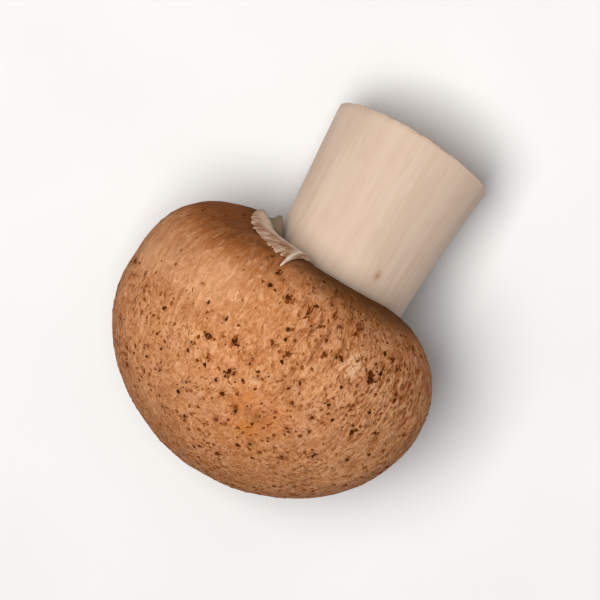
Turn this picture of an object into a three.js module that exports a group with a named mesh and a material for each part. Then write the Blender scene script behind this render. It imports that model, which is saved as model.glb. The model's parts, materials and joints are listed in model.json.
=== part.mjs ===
// A brown button mushroom, picked and trimmed, lying on its side: a domed cap with a
// rolled-in margin, the gills under it, the torn skirt of its veil, and a cut stem.
//
// Each piece is shaped upright in the mushroom's own frame: +Z runs up the stem into the
// crown, the origin is on the stem's axis at the level of the cap's lip, +X is the side
// that the stem leans to, and +Y is the side that ends up on top. The whole is then laid
// down, until the cap's side and the edge of the cut end both touch the ground.
// Millimetres. The exported frame has +Z up and the crown towards +X, and its origin is
// on the ground under the middle of the mushroom.

import * as THREE from "three";

// ---- Driving dimensions ----

const GAP = 0.35; // left between pieces that grow against each other

const CAP_RADIUS = 27.75; // mean radius at the widest level
const CAP_OVAL = 0.3; // how much wider it is sideways, and narrower across
const CAP_LOBES = new THREE.Vector2(0.13, 0.12); // three broad swellings round it, and five
const CAP_MIDDLE = new THREE.Vector2(-3.7, 0); // the cap's middle, seen from the stem's
const CAP_BEND = new THREE.Vector2(0.008, 0.02); // rise per millimetre sideways and across
const WIDEST_LEVEL = 16.9; // above the lip
const DOME_HEIGHT = 23.3; // from the widest level to the crown
const DOME_POWER = 1.97; // 2 is an ellipse, more is squarer
const DOME_SWELLING = 0.01; // share by which the dome rises and falls
const SHOULDER_POWER = 2.7; // the same as the dome's, for the side below the widest level
const SHOULDER_POWER_CHANGE = 0.32; // fuller by this much towards -X
const LIP_LEVEL = 0.6; // mean level that the shoulder rounds down to
const LIP_WAVE = 1.35; // how much further it comes down at the two sides
const LIP_DROOP = 2.4; // and again where one side of it sags
const DROOP_MIDDLE = THREE.MathUtils.degToRad(163);
const DROOP_SPREAD = THREE.MathUtils.degToRad(18);
const LIP_RADIUS = 15.9; // from the cap's middle to the crest of the rolled lip
const LIP_RADIUS_CHANGE = 2.4; // wider by this much towards +X
const LIP_LOBES = new THREE.Vector2(0.3, 0.15); // four broad swellings round it, and seven
const LIP_ROUND = 1.25; // radius of the lip's edge
const SHOULDER_LENGTH = 22; // from the widest level round to the lip

const HOLLOW_WALL = 2.4; // from the cap's side in to the curve that shapes the hollow
const HOLLOW_LOW = 2.0; // that curve's lower pull, above the lip's edge
const HOLLOW_HIGH = new THREE.Vector2(6.4, 19.6); // its upper pull: in from the side, level
const HOLLOW_FOCUS = new THREE.Vector2(14.8, 7); // what the gills point to: radius, level
const SOCKET_RADIUS = 13.2; // where the cap's flesh meets the stem
const SOCKET_TAPER = 0.5; // how much narrower the socket's top is
const SOCKET_LEVEL = 18;
const SOCKET_DEPTH = 1.9;

const GILLS = 36; // gills that run the whole way, with a short one between each two
const GILL_EDGE = 0.62; // thickness at the free edge
const GILL_ROOT = 0.86; // thickness where it leaves the flesh
const GILL_DEPTH = 4.8;
const GILL_BED = 0.9; // flesh that carries the gills
const GILL_REACH = new THREE.Vector2(0.26, 0.96); // where they run: 0 at the lip, 1 at the stem
const SHORT_GILL = 0.55; // share of that way that a short gill runs
const SHORT_GILL_DEPTH = 0.8; // share of a long gill's depth

const STEM_RADIUS = 11.95; // at the lip's level
const STEM_BELOW_LIP = 25; // to the cut end
const STEM_FLARE = 2.2; // how much wider the cut end is
const STEM_FLARE_LEVEL = 6; // where it begins to widen
const STEM_LEAN = 0.8; // how far the cut end's middle lies to the side
const STEM_OVAL = 0.25;
const STEM_LOBES = 0.12; // five shallow swellings, winding down the stem
const CUT_SLOPE = 0.05; // the knife's slant, as a rise per millimetre across
const CUT_ROUND = 0.5;

const VEIL_THICKNESS = 0.7;
const VEIL_ROOT = 0.7; // where it leaves the lip, measured outwards from the lip's inside
const VEIL_EDGE = 1.2; // where it ends on the outside, measured the same way
const VEIL_LIFT = 0.26; // how much further off the skin that end stands
const VEIL_SHARE = 0.45; // how much of the way from the lip to the stem it spans
const VEIL_RAGGED = 0.6; // how much its torn edge comes and goes
const FLAP_MIDDLE = THREE.MathUtils.degToRad(144); // where a flap has pulled loose
const FLAP_SPREAD = THREE.MathUtils.degToRad(12);
const FLAP_WIDTH = 0.3; // how much wider, lower and further out the flap is
const FLAP_DROOP = 2.4;
const FLAP_ROOT = 0.8;
const VEIL_CLINGS = [
  // where a torn part still clings to the skin: direction in degrees, and its outer end
  [92, VEIL_EDGE],
  [96, 2.6],
  [99, 4.4],
  [101.5, 8.5],
  [106, 10.4],
  [112, 9.4],
  [120, 8.2],
  [128, 7.2],
  [140, 5.2],
  [150, 4.2],
  [158, 2.2],
  [168, VEIL_EDGE],
];
const SHRED_MIDDLE = THREE.MathUtils.degToRad(102.3); // a shred at the end of that part
const SHRED_SPREAD = THREE.MathUtils.degToRad(2.2);
const SHRED_LENGTH = 4.6;

const REST_DENT = 0.6; // how far the flesh is flattened where it carries the weight

const SIDES = 80; // facets round the cap
const STEM_SIDES = 56;
const VEIL_SIDES = 132;

const BROWN_SKIN = { color: 0xb9845c, roughness: 0.72, metalness: 0 };
const PALE_STEM = { color: 0xdcc8b2, roughness: 0.68, metalness: 0 };
const PINK_GILLS = { color: 0x9a6f5c, roughness: 0.85, metalness: 0 };
const CREAM_VEIL = { color: 0xe3cdb4, roughness: 0.8, metalness: 0 };

// ---- Shared helpers ----

const FULL_TURN = 2 * Math.PI;
const RIGHT_ANGLE = Math.PI / 2;
const LIP_QUARTER = RIGHT_ANGLE * LIP_ROUND; // a quarter of the way round the lip's edge
const steps = (count, from = 0, to = 1) =>
  Array.from({ length: count + 1 }, (_, i) => from + ((to - from) * i) / count);
const outwards = (phi) => new THREE.Vector3(Math.cos(phi), Math.sin(phi), 0);
const anglesRound = (count) => steps(count, 0, FULL_TURN).slice(0, count);

// A point at a radius and level in the direction phi, about a middle that may lie aside.
const pointAt = (phi, radius, level, middle = new THREE.Vector2()) =>
  new THREE.Vector3(middle.x + radius * Math.cos(phi), middle.y + radius * Math.sin(phi), level);

// How near a direction is to a middle one: 1 there, and falling off over a spread.
const nearness = (phi, middle, spread) => {
  const turn = Math.atan2(Math.sin(phi - middle), Math.cos(phi - middle));
  return Math.exp(-((turn / spread) ** 2));
};

// Joins rings of points into one closed skin. The rings run down the outside and back up
// the inside; a ring of one point closes an end, and without such ends the last ring
// joins the first.
function closedSkin(rings) {
  const positions = rings.flat().flatMap((p) => p.toArray());
  const starts = rings.reduce((list, ring) => [...list, list.at(-1) + ring.length], [0]);
  const endless = rings[0].length > 1;
  const index = [];
  for (let i = 0; i < rings.length - (endless ? 0 : 1); i++) {
    const below = (i + 1) % rings.length;
    const count = Math.max(rings[i].length, rings[below].length);
    const at = (ring, j) => starts[ring] + (rings[ring].length > 1 ? j % count : 0);
    for (let j = 0; j < count; j++) {
      const [a, b] = [at(i, j), at(i, j + 1)];
      const [c, d] = [at(below, j), at(below, j + 1)];
      if (c !== d) index.push(a, c, d);
      if (a !== b) index.push(a, d, b);
    }
  }
  const skin = new THREE.BufferGeometry();
  skin.setAttribute("position", new THREE.Float32BufferAttribute(positions, 3));
  skin.setIndex(index);
  skin.computeVertexNormals();
  return skin;
}

// ---- The cap ----

const capReach = (phi) =>
  CAP_RADIUS +
  CAP_OVAL * Math.cos(2 * phi) +
  CAP_LOBES.x * Math.cos(3 * phi) +
  CAP_LOBES.y * Math.sin(5 * phi);
const lipReach = (phi) =>
  LIP_RADIUS +
  LIP_RADIUS_CHANGE * Math.cos(phi) +
  LIP_LOBES.x * Math.cos(4 * phi + 0.5) +
  LIP_LOBES.y * Math.sin(7 * phi);
const shoulderPower = (phi) => SHOULDER_POWER - SHOULDER_POWER_CHANGE * Math.cos(phi);
const shoulderFall = (phi) =>
  WIDEST_LEVEL -
  LIP_LEVEL +
  LIP_WAVE * Math.cos(2 * phi) +
  LIP_DROOP * nearness(phi, DROOP_MIDDLE, DROOP_SPREAD);

// A point about the cap's middle, raised as the bend of the cap raises it.
function capPoint(phi, radius, level) {
  const point = pointAt(phi, radius, level, CAP_MIDDLE);
  const bend = CAP_BEND.x * (point.x - CAP_MIDDLE.x) + CAP_BEND.y * (point.y - CAP_MIDDLE.y);
  return point.setZ(level + bend);
}

// Distance from the middle of a rounded quarter outline, at an angle up from its long side.
const quarterOutline = (angle, across, along, power) =>
  ((Math.cos(angle) / across) ** power + (Math.sin(angle) / along) ** power) ** (-1 / power);

// The dome, from the crown at 0 to the widest level at 1, with the shallow swellings that
// a grown cap has.
function domePoint(phi, share) {
  const angle = RIGHT_ANGLE * (1 - share);
  const round = Math.cos(3 * phi + 1.1) - Math.cos(2 * phi);
  const swelling = 1 + DOME_SWELLING * Math.sin(2 * angle) * round;
  const reach = swelling * quarterOutline(angle, capReach(phi), DOME_HEIGHT, DOME_POWER);
  return capPoint(phi, reach * Math.cos(angle), WIDEST_LEVEL + reach * Math.sin(angle));
}

// The shoulder, from the widest level at 0 to the lip at 1, moved outwards by lift.
function shoulderPoint(phi, share, lift = 0) {
  const [across, along, power] = [capReach(phi), shoulderFall(phi), shoulderPower(phi)];
  const fallAtLip = along * (1 - (lipReach(phi) / across) ** power) ** (1 / power);
  const outline = (s) => {
    const angle = s * Math.atan2(fallAtLip, lipReach(phi));
    const reach = quarterOutline(angle, across, along, power);
    return new THREE.Vector2(reach * Math.cos(angle), WIDEST_LEVEL - reach * Math.sin(angle));
  };
  const here = outline(share);
  const heading = outline(share + 0.01).sub(outline(share - 0.01)).normalize();
  return capPoint(phi, here.x - lift * heading.y, here.y + lift * heading.x);
}

// A point over the margin: along is the way outwards from the lip's innermost line, round
// its edge and on over the shoulder, or inwards if it is below 0. Lift is the height off
// the flesh.
function marginPoint(phi, along, lift = 0) {
  const beyond = along - LIP_QUARTER;
  if (beyond > 0) return shoulderPoint(phi, 1 - beyond / SHOULDER_LENGTH, lift);
  const crest = shoulderPoint(phi, 1);
  const angle = Math.PI - along / LIP_ROUND;
  crest.addScaledVector(outwards(phi), (LIP_ROUND + lift) * Math.cos(angle));
  return crest.setZ(crest.z + LIP_ROUND - (LIP_ROUND + lift) * Math.sin(angle));
}

// The wall and ceiling of the hollow under the cap, from the lip's inside at 0 to the stem
// at 1, moved by inward towards the hollow's middle.
function hollowPoint(phi, share, inward = 0) {
  const lip = marginPoint(phi, -LIP_QUARTER);
  const low = capPoint(phi, capReach(phi) - HOLLOW_WALL, 0).setZ(lip.z + HOLLOW_LOW);
  const high = capPoint(phi, capReach(phi) - HOLLOW_HIGH.x, HOLLOW_HIGH.y);
  const socket = pointAt(phi, SOCKET_RADIUS, SOCKET_LEVEL);
  const point = new THREE.CubicBezierCurve3(lip, low, high, socket).getPoint(share);
  const focus = pointAt(phi, HOLLOW_FOCUS.x, HOLLOW_FOCUS.y);
  return point.addScaledVector(focus.sub(point).normalize(), inward);
}

function capGeometry() {
  const ringOf = (pointOf, place) => anglesRound(SIDES).map((phi) => pointOf(phi, place));
  const socketTop = SOCKET_LEVEL + SOCKET_DEPTH;
  return closedSkin([
    [capPoint(0, 0, WIDEST_LEVEL + DOME_HEIGHT)],
    ...steps(15, 1 / 16, 1).map((s) => ringOf(domePoint, s)),
    ...steps(9, 1 / 10, 1).map((s) => ringOf(shoulderPoint, s)),
    ...steps(2, LIP_QUARTER / 3, -LIP_QUARTER).map((along) => ringOf(marginPoint, along)),
    ...steps(7, 1 / 8, 1).map((s) => ringOf(hollowPoint, s)),
    anglesRound(SIDES).map((phi) => pointAt(phi, SOCKET_RADIUS - SOCKET_TAPER, socketTop)),
    [new THREE.Vector3(0, 0, socketTop)],
  ]);
}

// ---- The gills ----

// How far a gill stands out of its bed, from the margin at 0 to the stem at 1.
function gillDepth(share, short) {
  const along = share / (short ? SHORT_GILL : 1);
  if (along >= 1) return 0;
  return GILL_DEPTH * (short ? SHORT_GILL_DEPTH : 1) * Math.sin(Math.PI * along ** 0.8) ** 0.6;
}

// One ring of the pleated underside or of the bed above it. Each gill takes four points:
// the two sides of its root, and between them the two sides of its free edge.
function gillRing(share, pleated) {
  const spacing = FULL_TURN / (2 * GILLS);
  const onWay = THREE.MathUtils.lerp(GILL_REACH.x, GILL_REACH.y, share);
  return anglesRound(2 * GILLS).flatMap((middle, i) => {
    const bed = hollowPoint(middle, onWay, GAP + GILL_BED);
    const root = Math.min(GILL_ROOT / 2 / Math.hypot(bed.x, bed.y), 0.44 * spacing);
    const depth = gillDepth(share, i % 2 === 1);
    const edgePoint = hollowPoint(middle, onWay, GAP + GILL_BED + depth);
    const edge = Math.min(GILL_EDGE / 2 / Math.hypot(edgePoint.x, edgePoint.y), 0.9 * spacing);
    const inwards = pleated ? [0, depth, depth, 0].map((d) => GAP + GILL_BED + d) : Array(4).fill(GAP);
    return [-root, -edge, edge, root].map((turn, k) => hollowPoint(middle + turn, onWay, inwards[k]));
  });
}

function gillsGeometry() {
  return closedSkin([
    gillRing(0, false),
    ...steps(6).map((share) => gillRing(share, true)),
    ...steps(3, 1, 0).slice(0, 3).map((share) => gillRing(share, false)),
  ]);
}

// ---- The stem ----

const stemTop = SOCKET_LEVEL + SOCKET_DEPTH - GAP;
const shareBelow = (from, level) => Math.max(0, (from - level) / (from + STEM_BELOW_LIP));
const stemLean = (level) => STEM_LEAN * shareBelow(0, level) ** 1.5;
const stemRadius = (phi, level) =>
  STEM_RADIUS +
  STEM_FLARE * shareBelow(STEM_FLARE_LEVEL, level) ** 1.5 +
  STEM_OVAL * Math.cos(2 * phi + 0.6) +
  STEM_LOBES * Math.cos(5 * phi + level / 9);
const stemPoint = (phi, level, inset = 0) =>
  pointAt(phi, stemRadius(phi, level) - inset, level, new THREE.Vector2(stemLean(level), 0));

function stemGeometry() {
  const cut = -STEM_BELOW_LIP;
  const ring = (level, inset) => anglesRound(STEM_SIDES).map((phi) => stemPoint(phi, level, inset));
  const slanted = (points) => points.map((p) => p.setZ(p.z + CUT_SLOPE * (p.x - stemLean(cut))));
  return closedSkin([
    [new THREE.Vector3(0, 0, stemTop)],
    ring(stemTop, CUT_ROUND),
    ...steps(11, stemTop - CUT_ROUND, cut + 2 * CUT_ROUND).map((level) => ring(level, 0)),
    slanted(ring(cut, CUT_ROUND)),
    slanted(ring(cut, STEM_RADIUS / 2)),
    slanted([new THREE.Vector3(stemLean(cut), 0, cut)]),
  ]);
}

// ---- The veil ----

const flapAt = (phi) => nearness(phi, FLAP_MIDDLE, FLAP_SPREAD);
const torn = (phi) =>
  0.5 * Math.sin(9 * phi + 0.4) + 0.3 * Math.sin(17 * phi + 2) + 0.2 * Math.sin(31 * phi + 4);

// How wide the skirt is from the lip in to its torn edge.
function veilWidth(phi) {
  const lip = marginPoint(phi, 0);
  const toStem = Math.hypot(lip.x, lip.y) - stemRadius(phi, lip.z);
  return VEIL_SHARE * toStem * (1 + VEIL_RAGGED * torn(phi)) + FLAP_WIDTH * flapAt(phi);
}

// How far out over the margin the veil's outer end lies.
function veilEnd(phi) {
  const degrees = THREE.MathUtils.radToDeg(phi);
  const shred = SHRED_LENGTH * nearness(phi, SHRED_MIDDLE, SHRED_SPREAD);
  const after = VEIL_CLINGS.findIndex(([direction]) => direction > degrees);
  if (after < 1) return VEIL_EDGE + shred;
  const [[from, start], [to, end]] = [VEIL_CLINGS[after - 1], VEIL_CLINGS[after]];
  return THREE.MathUtils.mapLinear(degrees, from, to, start, end) + shred;
}

// A point of the skirt: reach is -1 at its end outside the lip, 0 where it leaves the lip
// and 1 at the torn edge. The lower face lies a thickness away from the upper one.
function veilPoint(phi, reach, below) {
  const [inside, outside] = [Math.max(0, reach), Math.max(0, -reach)];
  const root = VEIL_ROOT + FLAP_ROOT * flapAt(phi);
  const along = THREE.MathUtils.lerp(root, Math.max(root, veilEnd(phi)), outside);
  const lift = GAP + VEIL_LIFT * outside;
  const upper = marginPoint(phi, along, lift);
  const across = marginPoint(phi, along, lift + VEIL_THICKNESS).sub(upper);
  across.lerp(new THREE.Vector3(0, 0, -VEIL_THICKNESS), inside);
  upper.addScaledVector(outwards(phi), -inside * veilWidth(phi));
  upper.setZ(upper.z - FLAP_DROOP * flapAt(phi) * inside ** 2);
  return below ? upper.add(across) : upper;
}

function veilGeometry() {
  const ring = (reach, below) => anglesRound(VEIL_SIDES).map((phi) => veilPoint(phi, reach, below));
  const reaches = [-1, -0.7, -0.4, -0.15, 0, 0.5, 1];
  return closedSkin([
    ...reaches.map((reach) => ring(reach, true)),
    ...reaches.toReversed().map((reach) => ring(reach, false)),
  ]);
}

// ---- Laying the mushroom down ----

const upWhenLaid = (tilt) => new THREE.Vector3(0, Math.cos(tilt), Math.sin(tilt));

function vertices(geometry) {
  const position = geometry.getAttribute("position");
  return steps(position.count - 1, 0, position.count - 1).map((i) =>
    new THREE.Vector3().fromBufferAttribute(position, i),
  );
}

const lowest = (points, tilt) => Math.min(...points.map((p) => p.dot(upWhenLaid(tilt))));

// The tilt of the stem's axis at which the cap and the cut end reach the ground together.
function restingTilt(capPoints, stemPoints) {
  let [low, high] = [0, RIGHT_ANGLE / 2];
  for (let i = 0; i < 40; i++) {
    const tilt = (low + high) / 2;
    if (lowest(capPoints, tilt) < lowest(stemPoints, tilt)) low = tilt;
    else high = tilt;
  }
  return low;
}

// Presses the flesh flat where it would reach below the ground.
function flattenOnGround(geometry, tilt, ground) {
  const position = geometry.getAttribute("position");
  const up = upWhenLaid(tilt);
  vertices(geometry).forEach((p, i) => {
    const under = ground - p.dot(up);
    if (under > 0) position.setXYZ(i, ...p.addScaledVector(up, under).toArray());
  });
  geometry.computeVertexNormals();
}

function piece(name, geometry, look) {
  const mesh = new THREE.Mesh(geometry, new THREE.MeshStandardMaterial(look));
  mesh.name = name;
  return mesh;
}

const cap = capGeometry();
const stem = stemGeometry();
const tilt = restingTilt(vertices(cap), vertices(stem));
const ground = lowest(vertices(cap), tilt) + REST_DENT;
flattenOnGround(cap, tilt, ground);
flattenOnGround(stem, tilt, ground);

const laid = new THREE.Group();
laid.add(
  piece("cap", cap, BROWN_SKIN),
  piece("gills", gillsGeometry(), PINK_GILLS),
  piece("stem", stem, PALE_STEM),
  piece("veil", veilGeometry(), CREAM_VEIL),
);
const crownwards = new THREE.Vector3(Math.cos(tilt), 0, Math.sin(tilt));
const upwards = new THREE.Vector3(-Math.sin(tilt), 0, Math.cos(tilt));
const sideways = new THREE.Vector3(0, 1, 0);
laid.setRotationFromMatrix(new THREE.Matrix4().makeBasis(sideways, upwards, crownwards));

const bounds = new THREE.Box3().setFromObject(laid, true);
const middle = bounds.getCenter(new THREE.Vector3());
laid.position.set(-middle.x, -middle.y, -bounds.min.z);

const mushroom = new THREE.Group();
mushroom.add(laid);
export default mushroom;
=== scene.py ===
"""A brown button mushroom on its side: skin, scales, gills, veil and cut stem over the CAD solids."""
import json
import math
from types import SimpleNamespace

import bpy
import numpy as np
from mathutils import Matrix, Vector, noise

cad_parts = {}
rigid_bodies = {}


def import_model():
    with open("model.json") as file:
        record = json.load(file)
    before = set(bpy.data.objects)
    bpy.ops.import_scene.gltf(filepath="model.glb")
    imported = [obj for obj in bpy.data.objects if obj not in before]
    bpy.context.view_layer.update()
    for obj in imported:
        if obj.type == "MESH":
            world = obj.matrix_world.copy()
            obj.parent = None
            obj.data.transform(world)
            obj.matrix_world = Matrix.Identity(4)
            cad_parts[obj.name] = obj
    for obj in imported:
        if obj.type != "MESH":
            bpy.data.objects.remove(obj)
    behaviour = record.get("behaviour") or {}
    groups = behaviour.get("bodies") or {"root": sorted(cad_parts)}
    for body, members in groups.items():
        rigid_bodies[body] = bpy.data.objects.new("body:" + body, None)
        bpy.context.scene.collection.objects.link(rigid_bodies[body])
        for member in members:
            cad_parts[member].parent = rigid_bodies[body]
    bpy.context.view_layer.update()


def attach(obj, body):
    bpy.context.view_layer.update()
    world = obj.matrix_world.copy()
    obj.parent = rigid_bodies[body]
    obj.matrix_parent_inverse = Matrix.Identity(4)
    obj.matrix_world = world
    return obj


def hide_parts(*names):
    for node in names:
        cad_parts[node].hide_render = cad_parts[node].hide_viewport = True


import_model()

# ---- The mushroom's own frame, in millimetres, and how it is laid down ----

MM = 0.001
TILT = math.radians(20.2345)
ORIGIN = np.array([-5.606, 3.57, 20.6333])
SIDEWAYS = np.array([0.0, 1.0, 0.0])
UPWARDS = np.array([-math.sin(TILT), 0.0, math.cos(TILT)])
CROWNWARDS = np.array([math.cos(TILT), 0.0, math.sin(TILT)])


def laid(points):
    """Points of the mushroom's own frame, taken to the row frame and kept above the ground."""
    placed = ORIGIN + points @ np.array([SIDEWAYS, UPWARDS, CROWNWARDS])
    placed[..., 2] = np.maximum(placed[..., 2], 0.0)
    return placed


# ---- The shapes that the CAD solids share ----

SEAM = 0.35
CAP_MIDDLE_X = -3.7
CAP_BEND = (0.008, 0.02)
WIDEST_LEVEL = 16.9
DOME_HEIGHT = 23.3
DOME_POWER = 1.97
LIP_LEVEL = 0.6
LIP_ROUND = 1.25
LIP_QUARTER = LIP_ROUND * math.pi / 2
SHOULDER_LENGTH = 22.0
SOCKET_RADIUS = 13.2
SOCKET_LEVEL = 18.0
SOCKET_TOP = 19.9
GILL_FOCUS = (14.8, 7.0)
CUT_LEVEL = -25.0
CUT_LEAN = 0.8


def clamped(values):
    """Values kept between 0 and 1."""
    return np.clip(values, 0, 1)


def near_angle(phi, degrees, spread_degrees):
    turn = phi - math.radians(degrees)
    turn = np.arctan2(np.sin(turn), np.cos(turn))
    return np.exp(-((turn / math.radians(spread_degrees)) ** 2))


def cap_reach(phi):
    return 27.75 + 0.3 * np.cos(2 * phi) + 0.13 * np.cos(3 * phi) + 0.12 * np.sin(5 * phi)


def lip_reach(phi):
    return 15.9 + 2.4 * np.cos(phi) + 0.3 * np.cos(4 * phi + 0.5) + 0.15 * np.sin(7 * phi)


def about_stem(phi, radius, level, middle_x=0.0):
    x, y, z = np.broadcast_arrays(middle_x + radius * np.cos(phi), radius * np.sin(phi), level)
    return np.stack([x, y, z], axis=-1).astype(float)


def about_cap(phi, radius, level):
    point = about_stem(phi, radius, level, CAP_MIDDLE_X)
    point[..., 2] += CAP_BEND[0] * (point[..., 0] - CAP_MIDDLE_X) + CAP_BEND[1] * point[..., 1]
    return point


def quarter_outline(angle, across, along, power):
    across_part = (np.maximum(np.cos(angle), 0.0) / across) ** power
    along_part = (np.abs(np.sin(angle)) / along) ** power
    return (across_part + along_part) ** (-1 / power)


def dome(phi, share):
    angle = (1 - share) * math.pi / 2
    swelling = 1 + 0.01 * np.sin(2 * angle) * (np.cos(3 * phi + 1.1) - np.cos(2 * phi))
    reach = swelling * quarter_outline(angle, cap_reach(phi), DOME_HEIGHT, DOME_POWER)
    return about_cap(phi, reach * np.cos(angle), WIDEST_LEVEL + reach * np.sin(angle))


def shoulder(phi, share, lift=0.0):
    across, power = cap_reach(phi), 2.7 - 0.32 * np.cos(phi)
    along = WIDEST_LEVEL - LIP_LEVEL + 1.35 * np.cos(2 * phi) + 2.4 * near_angle(phi, 163, 18)
    lip = lip_reach(phi)
    lip_fall = along * (1 - (lip / across) ** power) ** (1 / power)

    def outline(s):
        angle = s * np.arctan2(lip_fall, lip)
        reach = quarter_outline(angle, across, along, power)
        return reach * np.cos(angle), WIDEST_LEVEL - reach * np.sin(angle)

    radius, level = outline(share)
    after, before = outline(share + 0.01), outline(share - 0.01)
    heading = np.stack(np.broadcast_arrays(after[0] - before[0], after[1] - before[1]))
    heading = heading / np.linalg.norm(heading, axis=0)
    return about_cap(phi, radius - lift * heading[1], level + lift * heading[0])


def margin(phi, along, lift=0.0):
    beyond = np.maximum(along - LIP_QUARTER, 0.0)
    over = shoulder(phi, 1 - beyond / SHOULDER_LENGTH, lift)
    angle = math.pi - along / LIP_ROUND
    round_edge = shoulder(phi, 1.0) + np.zeros_like(over)
    inwards = (LIP_ROUND + lift) * np.cos(angle)
    round_edge += about_stem(phi, inwards, LIP_ROUND - (LIP_ROUND + lift) * np.sin(angle))
    return np.where((along > LIP_QUARTER)[..., None], over, round_edge)


def gill_ways(phi, points):
    """The way in which a gill hangs from each point of the hollow."""
    ways = about_stem(phi, *GILL_FOCUS) - points
    return ways / np.linalg.norm(ways, axis=-1, keepdims=True)


def hollow(phi, share, inward=0.0):
    lip = margin(phi, np.full_like(phi, -LIP_QUARTER))
    low = about_cap(phi, cap_reach(phi) - 2.4, 0.0)
    low[..., 2] = lip[..., 2] + 2.0
    high = about_cap(phi, cap_reach(phi) - 6.4, 19.6)
    socket = about_stem(phi, SOCKET_RADIUS, SOCKET_LEVEL)
    s = np.asarray(share)[..., None]
    point = (1 - s) ** 3 * lip + 3 * (1 - s) ** 2 * s * low + 3 * (1 - s) * s**2 * high + s**3 * socket
    return point + np.asarray(inward)[..., None] * gill_ways(phi, point)


def share_below(start, level):
    return np.maximum(0.0, (start - level) / (start - CUT_LEVEL))


def stem_radius(phi, level):
    flare = 2.2 * share_below(6.0, level) ** 1.5
    return 11.95 + flare + 0.25 * np.cos(2 * phi + 0.6) + 0.12 * np.cos(5 * phi + level / 9)


def stem_side(phi, level, inset=0.0):
    return about_stem(phi, stem_radius(phi, level) - inset, level, CUT_LEAN * share_below(0.0, level) ** 1.5)


# ---- Places as they are seen from above the cap's side ----

VIEW_LEAN = TILT - math.radians(10)
ASIDE = SIDEWAYS
ALONG = np.array([math.cos(VIEW_LEAN), 0.0, math.sin(VIEW_LEAN)])
FACING = np.array([-math.sin(VIEW_LEAN), 0.0, math.cos(VIEW_LEAN)])


def near_place(points, normals, aside, along, size, stretch=1.0):
    """How near points that face upwards are to a place: sideways and crownwards, in millimetres."""
    across = ((points - ORIGIN) @ ASIDE - aside) / size
    crownwards = ((points - ORIGIN) @ ALONG - along) / (size * stretch)
    return np.exp(-(across**2 + crownwards**2)) * clamped(normals @ FACING * 3)


# ---- Meshes from rings of points ----


def around(count):
    return np.linspace(0, 2 * math.pi, count, endpoint=False)[None, :]


def column(*values):
    return np.concatenate([np.atleast_1d(v) for v in values])[:, None]


def steps(start, end, count, skip=0):
    """Evenly spaced values down a column, after the ones skipped at the start."""
    return np.linspace(start, end, count + skip)[skip:, None]


def noise_at(points, size, seed):
    """Smooth noise between about -1 and 1, with features of a size in millimetres."""
    shifted = points.reshape(-1, 3) / np.asarray(size) + np.array([17.3, -5.1, 9.7]) * seed
    values = [noise.noise(p) for p in shifted.tolist()]
    return np.array(values).reshape(points.shape[:-1])


def grid_normals(grid, endless=False):
    if endless:
        down = np.roll(grid, -1, 0) - np.roll(grid, 1, 0)
    else:
        down = np.gradient(grid, axis=0)
    normals = np.cross(down, np.roll(grid, -1, 1) - np.roll(grid, 1, 1))
    return normals / np.maximum(np.linalg.norm(normals, axis=-1, keepdims=True), 1e-9)


def ring_faces(rows, columns, endless):
    rings = np.arange(rows if endless else rows - 1)[:, None]
    side = np.arange(columns)[None, :]
    here, below = rings * columns, (rings + 1) % rows * columns
    beside = (side + 1) % columns
    quads = [here + side, below + side, below + beside, here + beside]
    return np.stack(quads, axis=-1).reshape(-1, 4).tolist()


def mesh_of(name, points, faces):
    mesh = bpy.data.meshes.new(name)
    mesh.from_pydata(points, [], faces)
    return mesh


def ring_mesh(name, grid, first=None, last=None, endless=False):
    """A closed mesh from rings of points, in the mushroom's frame, with a point at each end or none."""
    rows, columns = grid.shape[:2]
    faces = ring_faces(rows, columns, endless)
    points = [laid(grid).reshape(-1, 3)]
    for end, ring in ((first, 0), (last, rows - 1)):
        if end is None:
            continue
        pole = sum(len(part) for part in points)
        points.append(laid(np.asarray(end, float)[None, :]))
        for j in range(columns):
            a, b = ring * columns + j, ring * columns + (j + 1) % columns
            faces.append((pole, a, b) if ring == 0 else (pole, b, a))
    mesh = mesh_of(name, (np.concatenate(points) * MM).tolist(), faces)
    mesh.shade_smooth()
    return mesh


def paint(mesh, poles=0, **painted):
    """Stores numbers or vectors by name for the points of a mesh, and zero for its end points."""
    for name, values in painted.items():
        values = np.asarray(values, dtype=np.float32)
        size = values.shape[-1] if values.ndim == 3 else 1
        flat = np.concatenate([values.reshape(-1, size), np.zeros((poles, size), np.float32)])
        kind, field = ("FLOAT_VECTOR", "vector") if size == 3 else ("FLOAT", "value")
        mesh.attributes.new(name, kind, "POINT").data.foreach_set(field, flat.ravel())


def in_scene(name, data):
    made = bpy.data.objects.new(name, data)
    bpy.context.scene.collection.objects.link(made)
    return made


def new_piece(mesh, material, slot, *nodes):
    """A piece that rides on the whole mushroom, in place of the CAD nodes named; the slot is not used."""
    piece = in_scene(mesh.name, mesh)
    if material is not None:
        mesh.materials.clear()
        mesh.materials.append(material)
    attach(piece, "root")
    if nodes:
        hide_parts(*nodes)


# ---- Materials ----


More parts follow.
